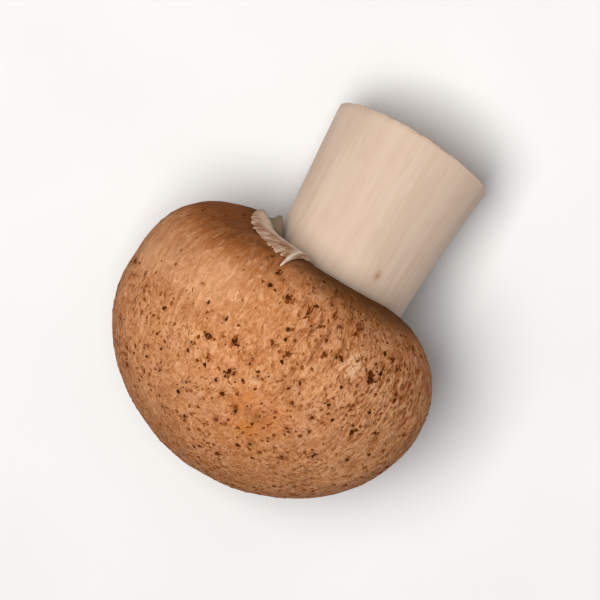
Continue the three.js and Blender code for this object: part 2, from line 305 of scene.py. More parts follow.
class Finish:
    """A material whose nodes are added one by one."""

    def __init__(self, name, **uniform):
        self.material = bpy.data.materials.new(name)
        self.material.use_nodes = True
        self.tree = self.material.node_tree
        self.shader = self.tree.nodes["Principled BSDF"]
        for socket, value in uniform.items():
            self.shader.inputs[socket.replace("_", " ")].default_value = value

    def soften(self, *depths):
        """Lets light in under the surface, to a depth in metres for red, green and blue."""
        self.shader.inputs["Subsurface Radius"].default_value = depths
        self.shader.inputs["Subsurface Scale"].default_value = 1.0

    def node(self, kind, inputs=(), **settings):
        made = self.tree.nodes.new("ShaderNode" + kind)
        for key, value in settings.items():
            setattr(made, key, value)
        for key, value in dict(inputs).items():
            if isinstance(value, bpy.types.NodeSocket):
                self.tree.links.new(value, made.inputs[key])
            else:
                made.inputs[key].default_value = value
        return made

    def millimetres(self):
        place = self.node("TexCoord").outputs["Object"]
        scale = (1000.0, 1000.0, 1000.0)
        return self.node("Mapping", {"Vector": place, "Scale": scale}).outputs["Vector"]

    def painted(self, name, output="Fac"):
        return self.node("Attribute", attribute_name=name).outputs[output]

    def grain(self, vector, size, seed=0.0, detail=3.0, roughness=0.55, stretch=(1, 1, 1), curl=0.0):
        scale = tuple(s / size for s in stretch)
        moved = self.node("Mapping", {"Vector": vector, "Scale": scale, "Location": (seed, -seed, seed)})
        inputs = {"Vector": moved.outputs["Vector"], "Scale": 1.0, "Detail": detail, "Roughness": roughness}
        return self.node("TexNoise", {**inputs, "Distortion": curl}).outputs["Fac"]

    def spots(self, vector, spacing, largest, seed=0.0, ragged=0.35):
        """Ragged spots, each 1 at its middle and 0 where it ends; largest is a radius."""
        shaken = self.grain(vector, largest, seed=seed, detail=2.0)
        shift = self.spread(shaken, 0.0, 1.0, -ragged, ragged)
        moved = self.node("Mapping", {"Vector": vector, "Location": (seed, seed, -seed)})
        cells = self.node("TexVoronoi", {"Vector": moved.outputs["Vector"], "Scale": 1 / spacing})
        size = self.node("SeparateColor", {"Color": cells.outputs["Color"]}).outputs["Red"]
        radius = self.spread(size, 0.0, 1.0, 0.4 * largest / spacing, largest / spacing)
        away = self.maths("DIVIDE", cells.outputs["Distance"], radius)
        return self.maths("SUBTRACT", 1.0, self.maths("ADD", away, shift))

    def spread(self, value, low, high, to_low=0.0, to_high=1.0):
        inputs = {"Value": value, "From Min": low, "From Max": high, "To Min": to_low, "To Max": to_high}
        return self.node("MapRange", inputs).outputs["Result"]

    def maths(self, operation, a, b=0.0):
        made = self.node("Math", {0: a, 1: b}, operation=operation)
        return made.outputs["Value"]

    def mix(self, factor, a, b):
        made = self.node("Mix", data_type="RGBA")
        for socket, value in ((made.inputs[0], factor), (made.inputs[6], a), (made.inputs[7], b)):
            if isinstance(value, bpy.types.NodeSocket):
                self.tree.links.new(value, socket)
            else:
                socket.default_value = value if isinstance(value, float) else (*value, 1.0)
        return made.outputs[2]

    def share(self, given):
        """A share from a painted name, or from a pattern with its low, its high and its most."""
        if isinstance(given, str):
            return self.painted(given)
        if isinstance(given, tuple):
            pattern, low, high, *most = given
            return self.spread(pattern, low, high, 0.0, *most)
        return given

    def layered(self, colour, *layers):
        """A colour moved towards each layer's tint in turn, by the product of the layer's shares."""
        for tint, *given in layers:
            share, *others = [self.share(one) for one in given]
            for other in others:
                share = self.maths("MULTIPLY", share, other)
            colour = self.mix(share, colour, tint)
        return colour

    def raise_by(self, height, distance, normal=None):
        inputs = {"Height": height, "Distance": distance * MM}
        if normal is not None:
            inputs["Normal"] = normal
        return self.node("Bump", inputs).outputs["Normal"]

    def connect(self, **sockets):
        for name, socket in sockets.items():
            self.tree.links.new(socket, self.shader.inputs[name.replace("_", " ")])
        return self.material


TAN = (0.565, 0.25, 0.102)
WARM_BROWN = (0.43, 0.168, 0.062)
RUSSET = (0.26, 0.082, 0.022)
# Colour of the painted shade in the crease.
CREASE_SHADE_BROWN = (0.11, 0.032, 0.007)
ORANGE = (0.5, 0.165, 0.035)
PALE_TAN = (0.75, 0.42, 0.23)
PALE_SCUFF = (0.82, 0.52, 0.32)
PINKISH = (0.57, 0.285, 0.155)
SCALE_RED = (0.15, 0.034, 0.005)
DARK_SCALE = (0.052, 0.014, 0.003)
CROWN_BROWN = (0.43, 0.15, 0.042)
RUST = (0.36, 0.115, 0.025)
# Colour of the band round the rim: partly the margin's own darker skin, partly painted shade.
RIM_SHADE_BROWN = (0.085, 0.026, 0.003)
# Colour of the painted shade on the sides turned away and the top edge.
SIDE_SHADE_BROWN = (0.17, 0.05, 0.011)
STEM_CREAM = (0.585, 0.445, 0.348)
STEM_SHADE = (0.48, 0.34, 0.248)
VEIL_CREAM = (0.88, 0.73, 0.58)
VEIL_WORN = (0.31, 0.125, 0.05)
# Colour of the veil's painted shade, over its greenish-brown tint.
VEIL_OLIVE_SHADE = (0.11, 0.066, 0.032)
CUT_TAN = (0.62, 0.4, 0.26)
CUT_BROWN = (0.28, 0.14, 0.07)
GILL_PINK = (0.36, 0.2, 0.15)
GILL_BROWN = (0.2, 0.1, 0.07)


def skin_patterns(finish):
    """The noises of the skin, in space or drawn out along it towards the margin."""
    place, skin = finish.millimetres(), finish.painted("skin", "Vector")
    strands = finish.grain(skin, 0.8, seed=1.3, detail=4.0, roughness=0.65, stretch=(1, 1, 0.3), curl=0.8)
    felt = finish.grain(place, 0.9, seed=9.2, detail=4.0, roughness=0.65, curl=1.6)
    return SimpleNamespace(
        clouds=finish.grain(place, 8.0, seed=3.1, detail=4.0),
        patches=finish.grain(place, 3.2, seed=21.6, detail=4.0, roughness=0.6, curl=0.6),
        mottle=finish.grain(place, 1.6, seed=7.7, detail=5.0, roughness=0.65),
        crumbs=finish.grain(place, 0.75, seed=15.3, roughness=0.6, curl=0.8),
        stains=finish.spots(place, 2.0, 0.75, seed=3.7, ragged=0.6),
        strands=strands,
        fibre=finish.node("Mix", {0: finish.painted("fibrous"), 2: felt, 3: strands}).outputs[0],
        fine_strands=finish.grain(skin, 0.3, seed=4.4, stretch=(1, 1, 0.25), curl=0.6),
        streaks=finish.grain(skin, 1.0, seed=27.1, stretch=(1, 1, 0.24), curl=0.5),
        folds=finish.grain(skin, 1.3, seed=31.8, stretch=(1, 1, 0.4), curl=1.8),
    )


def ground_layers(finish, skin):
    """Patches and mottling, paler and browner in places."""
    uneven = finish.spread(skin.patches, 0.35, 0.6, 1.0, 0.4)
    return (
        (PINKISH, (skin.patches, 0.5, 0.66, 0.75)),
        (WARM_BROWN, (skin.patches, 0.47, 0.33, 0.7)),
        (WARM_BROWN, (skin.mottle, 0.5, 0.34, 0.95)),
        (PALE_TAN, (skin.mottle, 0.55, 0.7, 0.5)),
        (PALE_TAN, "pale"),
        (WARM_BROWN, "warmed"),
        (CROWN_BROWN, "sunned", uneven),
    )


def fibre_layers(skin):
    """Pale crests and brown gaps of fibres and crumbs, the gaps where the skin is stirred."""
    return (
        (PALE_TAN, (skin.fibre, 0.53, 0.68, 0.7)),
        (RUSSET, (skin.fibre, 0.47, 0.32, 1.6), "stirred"),
        (PALE_TAN, (skin.crumbs, 0.52, 0.66, 0.35)),
        (RUSSET, (skin.crumbs, 0.47, 0.34, 1.2), "stirred"),
        (PALE_TAN, (skin.fine_strands, 0.57, 0.75, 0.25)),
        (RUSSET, (skin.fine_strands, 0.43, 0.27, 0.35)),
    )


def worn_layers(finish, skin):
    """The ripe, brown and scuffed places, some brown ones painted shade, the stains and the ground round the
    dark marks.
    """
    clouded = finish.spread(skin.clouds, 0.35, 0.55, 0.3, 1.0)
    return (
        (ORANGE, "ripe", (skin.mottle, 0.35, 0.55), clouded),
        (RUSSET, (skin.fibre, 0.75, 0.4), "browned"),
        (PALE_SCUFF, (skin.strands, 0.46, 0.58), "scuffed"),
        (RUSSET, (skin.stains, 0.0, 0.5, 0.8), "crowding"),
        (SCALE_RED, (skin.stains, 0.35, 0.7), "crowding"),
        (RUSSET, "halo", finish.spread(skin.crumbs, 0.7, 0.4, 0.5, 1.0)),
    )


def margin_layers(finish, skin, streaked):
    """The rust-brown side (partly painted shade), streaks and wrinkles; painted shade in the crease, on the
    sides turned away and round the rim (the rim partly its own darker margin); and the flesh under it.
    """
    return (
        (RUST, "rusty", finish.spread(skin.patches, 0.35, 0.6, 1.0, 0.5)),
        (SCALE_RED, streaked),
        (RUSSET, (skin.folds, 0.46, 0.34), "wrinkled"),
        (PALE_TAN, (skin.folds, 0.54, 0.68, 0.6), "wrinkled"),
        (CREASE_SHADE_BROWN, "creased"),
        (SIDE_SHADE_BROWN, "dusky"),
        (RIM_SHADE_BROWN, "shaded"),
        (STEM_SHADE, "flesh"),
    )


def skin_relief(finish, skin, streaked):
    stirred, wrinkled = finish.painted("stirred"), finish.painted("wrinkled")
    bump = finish.raise_by(skin.fine_strands, 0.04)
    bump = finish.raise_by(finish.maths("MULTIPLY", skin.mottle, stirred), 0.3, bump)
    bump = finish.raise_by(finish.maths("MULTIPLY", skin.crumbs, stirred), 0.16, bump)
    bump = finish.raise_by(skin.fibre, 0.2, bump)
    bump = finish.raise_by(streaked, -0.25, bump)
    return finish.raise_by(finish.maths("MULTIPLY", skin.folds, wrinkled), 0.7, bump)


def skin_finish():
    finish = Finish("brown_skin", Specular_IOR_Level=0.01, Subsurface_Weight=0.05)
    finish.soften(0.0014, 0.0006, 0.0003)
    skin = skin_patterns(finish)
    streaks = finish.spread(skin.streaks, 0.55, 0.66, 0.0, 0.7)
    streaked = finish.maths("MULTIPLY", streaks, finish.painted("streaked"))
    colour = finish.mix(finish.spread(skin.clouds, 0.36, 0.64), WARM_BROWN, TAN)
    colour = finish.layered(colour, *ground_layers(finish, skin), *fibre_layers(skin))
    colour = finish.layered(colour, *worn_layers(finish, skin), *margin_layers(finish, skin, streaked))
    relief = skin_relief(finish, skin, streaked)
    rough = finish.spread(skin.mottle, 0.3, 0.7, 0.5, 0.68)
    return finish.connect(Base_Color=colour, Roughness=rough, Normal=relief)


def flake_finish(name, dark, light, dark_share=0.5):
    finish = Finish(name, Roughness=0.9, Specular_IOR_Level=0.0)
    grain = finish.grain(finish.millimetres(), 0.9, seed=2.2)
    middle = 0.3 + 0.4 * dark_share
    colour = finish.mix(finish.spread(grain, middle - 0.1, middle + 0.1), dark, light)
    return finish.connect(Base_Color=colour)


def stem_finish():
    finish = Finish("pale_stem", Specular_IOR_Level=0.3, Subsurface_Weight=0.12)
    finish.soften(0.002, 0.0013, 0.0009)
    place, bark = finish.millimetres(), finish.painted("bark", "Vector")
    streaks = finish.grain(bark, 0.32, seed=5.5, stretch=(1, 1, 0.05))
    broad = finish.grain(bark, 2.4, seed=8.1, stretch=(1, 1, 0.12))
    crumb = finish.grain(place, 0.5, seed=6.6, detail=5.0, roughness=0.7)
    colour = finish.mix(finish.spread(broad, 0.38, 0.7, 0.0, 0.6), STEM_CREAM, STEM_SHADE)
    bruised = finish.spread(crumb, 0.3, 0.5, 0.3, 0.9)
    colour = finish.layered(colour, (STEM_SHADE, (streaks, 0.5, 0.75, 0.4)), (CUT_BROWN, "bruised", bruised))
    cut = finish.mix(finish.spread(crumb, 0.35, 0.7, 0.0, 0.6), CUT_TAN, STEM_SHADE)
    cut = finish.layered(cut, (CUT_BROWN, (crumb, 0.3, 0.55), "stained"))
    colour = finish.mix(finish.painted("cut"), colour, cut)
    bump = finish.raise_by(streaks, 0.06)
    bump = finish.raise_by(finish.maths("MULTIPLY", crumb, finish.painted("cut")), 0.25, bump)
    rough = finish.spread(crumb, 0.3, 0.7, 0.55, 0.75)
    return finish.connect(Base_Color=colour, Roughness=rough, Normal=bump)


def gill_finish():
    finish = Finish("pink_gills", Roughness=0.8, Specular_IOR_Level=0.2, Subsurface_Weight=0.1)
    finish.soften(0.001, 0.0005, 0.0004)
    grain = finish.grain(finish.millimetres(), 1.6, seed=1.9, detail=4.0)
    colour = finish.mix(finish.spread(grain, 0.35, 0.65), GILL_PINK, GILL_BROWN)
    return finish.connect(Base_Color=colour, Normal=finish.raise_by(grain, 0.1))


def veil_finish():
    finish = Finish("cream_veil", Roughness=0.7, Specular_IOR_Level=0.15, Subsurface_Weight=0.1)
    finish.soften(0.0012, 0.0008, 0.0005)
    place, skin = finish.millimetres(), finish.painted("skin", "Vector")
    threads = finish.grain(skin, 0.3, seed=2.7, stretch=(1, 1, 0.15))
    clouds = finish.grain(place, 1.8, seed=6.1)
    colour = finish.mix(finish.spread(clouds, 0.42, 0.66, 0.0, 0.8), VEIL_CREAM, CUT_TAN)
    worn = (VEIL_WORN, "worn", finish.spread(threads, 0.62, 0.5, 0.35, 1.0))
    colour = finish.layered(colour, (CUT_TAN, (threads, 0.48, 0.66, 0.7)), worn, (VEIL_OLIVE_SHADE, "olive"))
    return finish.connect(Base_Color=colour, Normal=finish.raise_by(threads, 0.08))


# ---- Cap: its shape ----

CAP_COLUMNS = 400
DOME_ROWS = 104
SHOULDER_ROWS = 58
LIP_ROWS = 9
LIP_ROWS_OUTSIDE = 5
HOLLOW_ROWS = 26
SCALED_ROWS = DOME_ROWS + SHOULDER_ROWS - 1  # down to where the scales end
SKIN_RADIUS = 27.0
FLAT_TOP = about_cap(0.0, 0.0, WIDEST_LEVEL + DOME_HEIGHT)

phi = around(CAP_COLUMNS)
outer_dome = dome(phi, steps(1 / DOME_ROWS, 1, DOME_ROWS))
outer_shoulder = shoulder(phi, steps(1 / SHOULDER_ROWS, 1, SHOULDER_ROWS))
round_the_lip = steps(LIP_QUARTER, -LIP_QUARTER, LIP_ROWS, skip=1) + 0 * phi
lip_rows = margin(phi + 0 * round_the_lip, round_the_lip)
up_the_hollow = steps(0, 1, HOLLOW_ROWS, skip=1) + 0 * phi
hollow_rows = hollow(phi + 0 * up_the_hollow, up_the_hollow)
socket_rows = about_stem(phi, column(SOCKET_RADIUS - 0.5, SOCKET_RADIUS / 2), SOCKET_TOP)
cap_grid = np.concatenate([outer_dome, outer_shoulder, lip_rows, hollow_rows, socket_rows])
outside_rows = DOME_ROWS + SHOULDER_ROWS + LIP_ROWS_OUTSIDE
outside = (np.arange(len(cap_grid)) < outside_rows)[:, None] + 0 * phi

# How far each point lies down the skin from the crown, and its place on the unrolled skin.
steps_down = np.linalg.norm(np.diff(cap_grid, axis=0), axis=-1).mean(axis=1)
along = np.concatenate([[0.0], np.cumsum(steps_down)])[:, None] + 0 * phi
lip_along = along[outside_rows - 1, 0]
past_edge = np.maximum(lip_along - LIP_QUARTER - along, 0)
skin_place = about_stem(phi, SKIN_RADIUS, along)
fibrous = clamped((along - 14) / 26) * outside

swells = 0.2 * noise_at(cap_grid, 13, 1) + 0.1 * noise_at(cap_grid, 4.2, 2)
ridges = 0.05 * noise_at(skin_place, (1.1, 1.1, 6), 3) * fibrous
lumps = 0.05 * noise_at(cap_grid, 1.6, 4) + 0.03 * noise_at(cap_grid, 0.9, 5)
cap_grid = cap_grid + (outside * (swells + ridges + lumps))[..., None] * grid_normals(cap_grid)
drift = np.stack([noise_at(cap_grid, 5, 21), noise_at(cap_grid, 5, 22), 0 * along], axis=-1)
skin_place = skin_place + 0.8 * drift

cap_plan = laid(cap_grid)
cap_normals = grid_normals(cap_plan)
aside, crownwards = (cap_plan - ORIGIN) @ ASIDE, (cap_plan - ORIGIN) @ ALONG
upwards = clamped(cap_normals @ FACING * 3)


def patch(*place):
    return near_place(cap_plan, cap_normals, *place)


# ---- Cap: how its skin differs from place to place ----

# Larger dark marks, each where it has grown: sideways, crownwards and length in millimetres.
DARK_MARKS = (
    (12.2, 12.2, 2.3), (12.6, 12.9, 1.7), (13.5, 12.6, 1.3), (12.3, 10.1, 0.9), (13.7, 11.1, 1.3),
    (13.6, 9.8, 0.7), (6.8, 11.8, 1.3), (-7.2, 26.2, 1.3),
    (-9.2, 7.2, 1.4), (10.6, 27.9, 1.3), (14.1, 21.7, 1.8), (-30.6, 14.5, 1.4), (-1.2, 15.3, 1.2),
    (-9.7, 17.8, 1.6), (-12.8, 15.5, 1.0), (2.8, 18.6, 0.9), (1.6, 20.2, 1.0), (-8.9, 4.8, 1.2),
    (-5.4, 7.7, 1.6), (-13.7, 19.3, 1.6), (-8.0, 22.5, 1.6), (-4.0, 15.2, 0.9), (4.1, 12.5, 1.0),
    (7.2, 22.8, 1.0), (8.8, 19.7, 0.9), (-3.8, 21.2, 0.8), (15.1, 17.4, 0.9), (14.1, 8.1, 1.0),
    (-18.1, 27.8, 0.9), (-13.8, 29.4, 1.2), (-4.2, 27.8, 1.0), (22.0, 18.0, 1.0), (17.7, 20.2, 1.0),
    (15.6, 9.3, 1.0), (-1.5, 8.0, 1.3), (7.1, 7.4, 0.9), (-10.9, 32.7, 0.9), (4.6, 26.3, 0.8),
    (17.5, 12.7, 0.8), (-9.2, 24.8, 0.9), (-6.2, 30.5, 0.8), (-28.1, 24.0, 0.9), (-23.4, 30.0, 1.0),
    (0.6, 31.4, 0.8), (-15.8, 21.5, 0.7), (8.0, 24.8, 0.9), (6.2, 30.7, 0.8), (15.8, 26.0, 1.0),
    (-12.2, 22.4, 0.8), (-13.4, 27.5, 0.8), (4.2, 7.5, 0.8), (-5.8, 19.9, 0.8), (-11.1, 2.9, 1.2),
    (-24.9, 1.7, 0.7), (-22.8, 2.1, 0.8), (-18.6, -1.0, 0.8), (-29.5, 16.6, 0.8), (-18.8, 12.2, 0.6),
)
# Slender reddish marks that follow the skin towards the rim, placed in the same way.
RED_STREAKS = (
    (-5.2, 7.7, 2.6), (-1.4, 7.7, 2.3), (1.3, 9.2, 1.6), (2.7, 6.6, 1.9), (4.3, 3.9, 1.6),
    (7.1, 6.5, 2.1), (4.1, 12.9, 2.1), (-2.4, 2.6, 1.0), (-8.8, 4.7, 1.6), (-2.3, 4.6, 1.3),
    (1.1, 4.8, 1.5), (-1.6, 9.0, 1.6), (-8.5, 19.0, 1.2), (-1.0, 15.2, 1.3), (-3.8, 15.3, 1.2),
    (-5.6, 19.8, 1.1), (-1.1, 7.1, 1.7), (1.2, 9.2, 1.5), (2.4, 6.5, 2.4), (6.8, 6.4, 2.2),
    (4.2, 3.8, 1.1), (4.3, 7.5, 1.0), (14.6, 8.2, 2.6), (16.4, 7.9, 2.0), (16.5, 5.1, 2.2),
    (-0.8, 15.3, 1.6), (4.3, 12.6, 1.2), (16.8, 11.7, 1.8), (18.6, 13.1, 1.6), (18.9, 10.6, 1.8),
    (9.9, 10.2, 1.2), (14.6, 10.2, 1.6), (19.0, 7.8, 1.7), (6.4, 20.9, 1.1), (12.1, 17.8, 1.2),
)
# Small roundish reddish marks, placed in the same way.
RED_MARKS = (
    (-24.9, 1.5, 0.9), (-22.6, 2.0, 1.0), (-23.4, 2.9, 0.9), (-27.6, 4.1, 0.8), (-25.1, 3.5, 0.8),
    (-22.5, 0.5, 0.9), (-21.2, 0.6, 1.0), (-19.1, -0.3, 1.0), (-20.3, 2.2, 0.7), (-26.3, 2.9, 0.7),
    (-26.6, 14.3, 0.9), (-26.5, 12.2, 0.6), (-24.3, 11.6, 0.9), (-11.8, 11.4, 0.7), (-10.4, 7.1, 1.0),
    (-5.5, 8.2, 1.3), (-7.9, 5.4, 1.1), (7.2, 7.3, 1.2), (13.9, 12.0, 1.2), (-18.7, 12.2, 0.6),
)
# A crease in the skin beside the veil, as points sideways and crownwards; the dark line along it is painted
# shade.
CREASE = ((-20.8, 5.0), (-19.3, 3.9), (-18.1, 3.0), (-16.8, 2.4), (-15.4, 2.1), (-14.0, 2.0), (-12.6, 2.0))

blotches = clamped(0.7 + 1.6 * noise_at(cap_grid, 12, 44))
unseen = clamped(0.6 - 2 * cap_normals @ FACING) * blotches
calm = clamped((-3 - aside) / 6) * clamped((17 - crownwards) / 5) * upwards

crowding = 0.45 + 0.9 * noise_at(cap_grid, 7.0, 8) + 0.35 * noise_at(cap_grid, 2.4, 9)
crowding *= 0.45 + 0.55 * clamped((lip_along - 4 - along) / 14)
crowding += 0.45 * patch(14, 14, 9) - 0.75 * calm - 0.5 * unseen + 0.2 * clamped((crownwards - 14) / 8)
crowding = np.clip(crowding, 0.02, 1) * outside

stirred = 0.65 + 0.3 * noise_at(cap_grid, 6.0, 33) + 0.4 * patch(12, 12, 9) - 0.45 * calm
stirred += 0.4 * patch(-22, 1, 6, 0.7) - 0.45 * unseen

pale = 0.45 * calm * clamped((-10 - aside) / 8) * clamped((crownwards - 4) / 4)
pale += 0.22 * patch(9, 14, 7)
warmed = 0.35 * patch(-7, 13, 8) + 0.25 * patch(-5, 25, 8) + 0.35 * patch(-19, 4, 8, 0.6)
sunned = np.maximum(0.9 * clamped((22 - along) / 12), 0.4 * patch(-6, 17, 8, 0.8))
ripe = patch(-0.2, 28.2, 4.0) + 0.6 * patch(-3.2, 25.6, 2.6)
# Brown patches: some are the skin's own darker brown; those along the upper-left edge and beside the crease
# are painted shade.
browned = 0.5 * patch(-25, 8, 5.5, 0.8) + 1.2 * patch(-22, 2, 5, 0.6) + 0.6 * patch(6, 7.2, 3, 0.5)
browned += 0.9 * patch(-14, 3.5, 6, 0.5) + 0.8 * patch(-0.8, 26.8, 1.8, 0.5)
scuffed = 1.05 * patch(9.0, 12.4, 1.7, 1.2) + 0.7 * patch(-7.7, 24.4, 1.2) + 0.6 * patch(-4, 22, 1.2)
scuffed += 0.7 * patch(-26.7, 3.8, 0.8)

halo = np.zeros_like(browned)
for mark_aside, mark_along, length in DARK_MARKS:
    halo = np.maximum(halo, patch(mark_aside, mark_along, 0.45 * length + 0.15))
# The crease's dark line: painted shade.
creased = np.zeros_like(browned)
for number, (crease_aside, crease_along) in enumerate(CREASE):
    creased = np.maximum(creased, (0.35 + 0.08 * number) * patch(crease_aside, crease_along, 1.0, 0.35))

# The dark band round the rim: partly the margin's own darker skin, partly painted shade where the skin rolls
# in at the rim.
band_width = 2.0 + 8.5 * near_angle(phi, 70, 42)
shaded = 0.9 * np.exp(-((past_edge / band_width) ** 3))
# A broad rust-brown band towards the rim: partly the skin's own tone, partly painted shade warming and
# darkening it.
rusty = 0.75 * np.exp(-((past_edge / 15) ** 2))
streaked = np.exp(-(((past_edge - 8) / 6) ** 2)) * clamped(0.5 + noise_at(cap_grid, 5.0, 41))
streaked += 0.8 * patch(3, 11, 7, 0.8)
# Painted shade: darker brown where the skin turns away from above, and along the upper edge near the margin.
turned_away_shade = 1 - clamped(cap_normals @ FACING * 2.4)
top_edge_shade = 1.4 * np.exp(-(((aside + 21) / 10) ** 2) - ((crownwards + 2) / 4.5) ** 2)
dusky = 0.5 * turned_away_shade + top_edge_shade * np.clip(1 + noise_at(cap_grid, 2.5, 42), 0.4, 1.4)
wrinkled = 0.7 * clamped(2 * noise_at(cap_grid, 11, 43) - 0.2)
wrinkled += patch(20, 12, 6) + 0.8 * patch(14, 20, 5)

cap_mesh = ring_mesh("cap_skin", cap_grid, first=FLAT_TOP, last=(0, 0, SOCKET_TOP))
paint(
    cap_mesh,
    poles=2,
    skin=skin_place,
    fibrous=fibrous,
    flesh=clamped((along - lip_along) / 1.2),
    crowding=crowding,
    stirred=stirred.clip(0.12, 1),
    pale=pale,
    warmed=warmed,
    sunned=sunned,
    ripe=ripe.clip(0, 1),
    browned=browned.clip(0, 1),
    scuffed=scuffed.clip(0, 1),
    halo=0.85 * clamped(halo * 1.3),
    creased=creased.clip(0, 0.8),
    shaded=shaded.clip(0, 1) * outside,
    rusty=rusty * outside,
    streaked=streaked.clip(0, 1) * outside,
    dusky=dusky.clip(0, 0.85) * outside,
    wrinkled=(wrinkled * (1 - calm)).clip(0, 1) * outside,
)
new_piece(cap_mesh, skin_finish(), "brown_skin", "cap")

# ---- Scales and fibres on the cap ----

flake_random = np.random.default_rng(11)


def flake_mesh(name, points, slender, height):
    """A thin raised flake, one unit long, with its foot sunk under the surface."""
    angles = np.linspace(0, 2 * math.pi, points, endpoint=False)
    reach = flake_random.uniform(0.55, 1.1, points) * 0.5
    outline = np.stack([np.cos(angles) * reach, np.sin(angles) * reach * slender], axis=-1)
    outline[:, 1] += outline[:, 0] ** 2 * flake_random.uniform(-1.3, 1.3)
    middle = outline.mean(axis=0)
    rim = [(x, y, 0.0) for x, y in outline]
    crest = [(x, y, height) for x, y in middle + (outline - middle) * 0.5]
    foot = (*middle, -height)
    faces = [tuple(range(points, 2 * points))]
    for i in range(points):
        beside = (i + 1) % points
        faces.append((i, beside, points + beside, points + i))
        faces.append((2 * points, beside, i))
    return mesh_of(name, [*rim, *crest, foot], faces)


def new_tree(name, *sockets):
    tree = bpy.data.node_groups.new(name, "GeometryNodeTree")
    tree.interface.new_socket("Geometry", in_out="INPUT", socket_type="NodeSocketGeometry")
    for label, kind in sockets:
        tree.interface.new_socket(label, in_out="INPUT", socket_type="NodeSocket" + kind)
    tree.interface.new_socket("Geometry", in_out="OUTPUT", socket_type="NodeSocketGeometry")
    return tree


def tree_node(tree, kind, inputs=(), **settings):
    made = tree.nodes.new(kind)
    for key, value in settings.items():
        setattr(made, key, value)
    for key, value in dict(inputs).items():
        if isinstance(value, bpy.types.NodeSocket):
            tree.links.new(value, made.inputs[key])
        else:
            made.inputs[key].default_value = value
    return made


def tree_attribute(tree, name, kind="FLOAT"):
    return tree_node(tree, "GeometryNodeInputNamedAttribute", {"Name": name}, data_type=kind).outputs[0]


def tree_maths(tree, operation, a, b):
    return tree_node(tree, "ShaderNodeMath", {0: a, 1: b}, operation=operation).outputs[0]


def tree_random(tree, least, most, seed):
    chance = {2: least, 3: most, "Seed": seed}
    return tree_node(tree, "FunctionNodeRandomValue", chance, data_type="FLOAT").outputs[1]


def finish_tree(tree, geometry, material):
    whole = tree_node(tree, "GeometryNodeRealizeInstances", {"Geometry": geometry}).outputs[0]
    finished = tree_node(tree, "GeometryNodeSetMaterial", {"Geometry": whole, "Material": material})
    tree_node(tree, "NodeGroupOutput", {"Geometry": finished.outputs[0]})


def grown_mesh(name, mesh, tree, **values):
    """The plain mesh that a tree makes from a mesh, with its named inputs set."""
    carrier = in_scene(name, mesh)
    modifier = carrier.modifiers.new(name, "NODES")
    modifier.node_group = tree
    for item in tree.interface.items_tree:
        label = item.name.replace(" ", "_")
        if item.in_out == "INPUT" and label in values:
            modifier[item.identifier] = values[label]
    bpy.context.view_layer.update()
    evaluated = carrier.evaluated_get(bpy.context.evaluated_depsgraph_get())
    grown = bpy.data.meshes.new_from_object(evaluated)
    grown.name = name
    bpy.data.objects.remove(carrier)
    return grown


def scatter_tree():
    """Flakes on a mesh, where it is crowded; the looser the skin, the further they turn from its grain."""
    sockets = [(label, "Float") for label in ("Closest", "Density", "Smallest", "Largest", "Swing")]
    sockets += [("Flakes", "Collection"), ("Seed", "Int"), ("Finish", "Material")]
    tree = new_tree("scatter_flakes", *sockets)
    given = tree_node(tree, "NodeGroupInput").outputs
    spacing = {
        "Mesh": given["Geometry"],
        "Distance Min": given["Closest"],
        "Density Max": given["Density"],
        "Density Factor": tree_attribute(tree, "crowding"),
        "Seed": given["Seed"],
    }
    kind = "GeometryNodeDistributePointsOnFaces"
    scatter = tree_node(tree, kind, spacing, distribute_method="POISSON").outputs
    grain = tree_attribute(tree, "grain", "FLOAT_VECTOR")
    axes = {"Primary Axis": scatter["Normal"], "Secondary Axis": grain}
    stand = tree_node(tree, "FunctionNodeAxesToRotation", axes, primary_axis="Z", secondary_axis="X")
    furthest = tree_maths(tree, "MULTIPLY", tree_attribute(tree, "loose"), given["Swing"])
    swing = tree_maths(tree, "MULTIPLY", tree_random(tree, -1.0, 1.0, 3), furthest)
    about_normal = {"Axis": (0.0, 0.0, 1.0), "Angle": swing}
    turn = tree_node(tree, "FunctionNodeAxisAngleToRotation", about_normal).outputs[0]
    turns = {"Rotation": stand.outputs[0], "Rotate By": turn}
    turned = tree_node(tree, "FunctionNodeRotateRotation", turns, rotation_space="LOCAL").outputs[0]
    seldom_large = tree_maths(tree, "POWER", tree_random(tree, 0.0, 1.0, 5), 1.8)
    lengths = {"Value": seldom_large, "To Min": given["Smallest"], "To Max": given["Largest"]}
    length = tree_node(tree, "ShaderNodeMapRange", lengths).outputs[0]
    shelf = {"Collection": given["Flakes"], "Separate Children": True, "Reset Children": True}
    flakes = tree_node(tree, "GeometryNodeCollectionInfo", shelf).outputs[0]
    placing = {"Points": scatter["Points"], "Instance": flakes, "Pick Instance": True}
    placing |= {"Rotation": turned, "Scale": length}
    placed = tree_node(tree, "GeometryNodeInstanceOnPoints", placing)
    finish_tree(tree, placed.outputs[0], given["Finish"])
    return tree


def shelf_of(name, count, *shape):
    shelf = bpy.data.collections.new(name)
    for number in range(count):
        sample = flake_mesh(f"{name}_{number}", *shape)
        shelf.objects.link(bpy.data.objects.new(sample.name, sample))
    return shelf


def clear_shelf(shelf):
    for sample in list(shelf.objects):
        bpy.data.objects.remove(sample)
    bpy.data.collections.remove(shelf)


scaled_grid = cap_grid[:SCALED_ROWS]
grain_heading = np.gradient(laid(scaled_grid), axis=0)
grain_heading /= np.maximum(np.linalg.norm(grain_heading, axis=-1, keepdims=True), 1e-9)
flakes_tree = scatter_tree()


